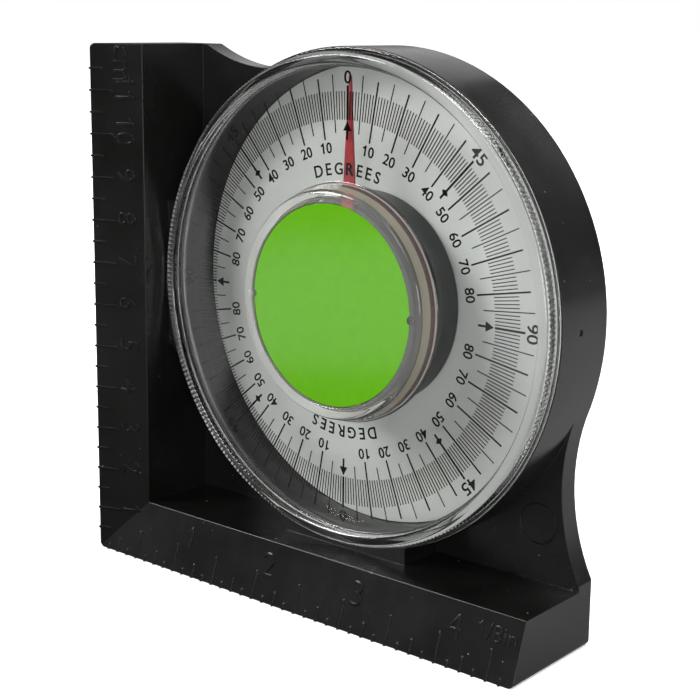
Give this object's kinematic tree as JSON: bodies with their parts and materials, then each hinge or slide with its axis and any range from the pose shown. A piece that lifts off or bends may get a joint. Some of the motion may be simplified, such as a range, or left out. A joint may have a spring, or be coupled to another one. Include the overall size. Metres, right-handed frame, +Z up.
{
  "type": "inclinometer",
  "caption": "Square-bodied dial inclinometer: a weighted needle hangs in a round cup behind a clear lens printed with degrees, on an L of ruled bars with base magnets.",
  "frame": {"origin": "middle of the base, at the bottom of the box round the whole object", "axes": "+X along the inch scale, +Y from the dial face to the back, +Z up the centimetre scale"},
  "size_m": [0.1216, 0.0286, 0.1215],
  "materials": {
    "black_plastic": "moulded black plastic with a soft gloss",
    "ferrite": "pressed ferrite, ground dark grey",
    "plated_steel": "zinc plated steel sheet",
    "silver_dial": "satin silver dial sheet",
    "clear_plastic": "clear moulded plastic, polished",
    "green_label": "printed green film with a satin gloss",
    "black_ink": "printed black ink",
    "brass": "turned brass",
    "polished_steel": "ground and polished steel",
    "red_paint": "red enamel on thin sheet",
    "grey_plastic": "moulded dark grey plastic"
  },
  "bodies": {
    "body": {"frame": "black_plastic", "left_magnet": "ferrite", "right_magnet": "ferrite", "left_pole_plates": "plated_steel", "right_pole_plates": "plated_steel", "dial_plate": "silver_dial", "lens": "clear_plastic", "centre_label": "green_label", "quadrant_marks": "black_ink", "ten_degree_marks": "black_ink", "five_degree_marks": "black_ink", "one_degree_marks": "black_ink", "front_bearing": "brass", "rear_bearing": "brass"},
    "pointer": {"pivot_shaft": "polished_steel", "needle": "red_paint", "needle_collar": "brass", "weight_drum": "grey_plastic", "counterweight": "plated_steel", "weight_rivets": "brass"}
  },
  "joints": [
    {"name": "pointer_swing", "type": "hinge", "parent": "body", "child": "pointer", "pos_m": [0.00705, 0, 0.0678], "axis": [0, 1, 0], "continuous": true}
  ]
}
